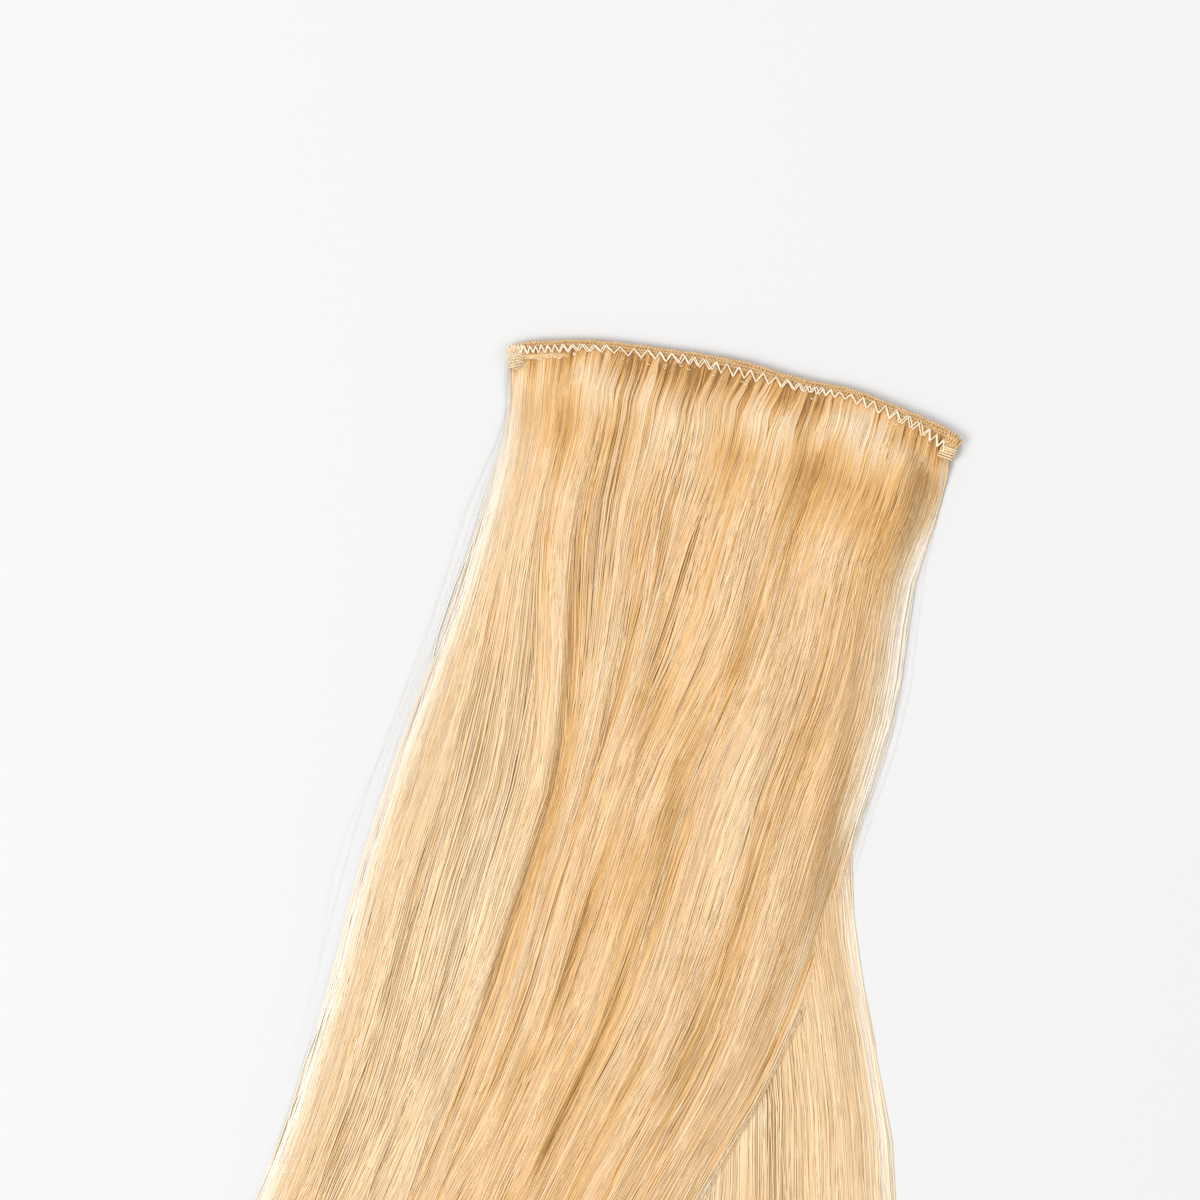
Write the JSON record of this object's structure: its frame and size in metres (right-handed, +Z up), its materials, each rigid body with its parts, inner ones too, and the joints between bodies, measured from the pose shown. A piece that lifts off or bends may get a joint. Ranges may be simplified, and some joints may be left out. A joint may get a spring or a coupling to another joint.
{
  "type": "hair weft",
  "caption": "Sewn hair weft lying flat: a narrow arched band of bound cords with wrapped ends, carrying overlapping layers of long straight hair in locks that fan out towards the tips.",
  "frame": {"origin": "middle of the lower weft band's underside, where the weft lies on the surface", "axes": "+X along the band's chord to the right of the picture, +Y away from the hair, +Z up from the surface; the hair runs along -Y"},
  "size_m": [0.2164, 0.4053, 0.0092],
  "materials": {
    "binding_cord": "tan twisted polyester cord, matt",
    "wrap_thread": "beige and cream sewing thread, matt",
    "hair": "straight honey blonde hair, satin gloss"
  },
  "bodies": {
    "root": {"upper_weft_band": "binding_cord", "lower_weft_band": "binding_cord", "left_end_wrap": "wrap_thread", "right_end_wrap": "wrap_thread", "upper_hair_layer": "hair", "lower_hair_layer": "hair"}
  },
  "joints": []
}
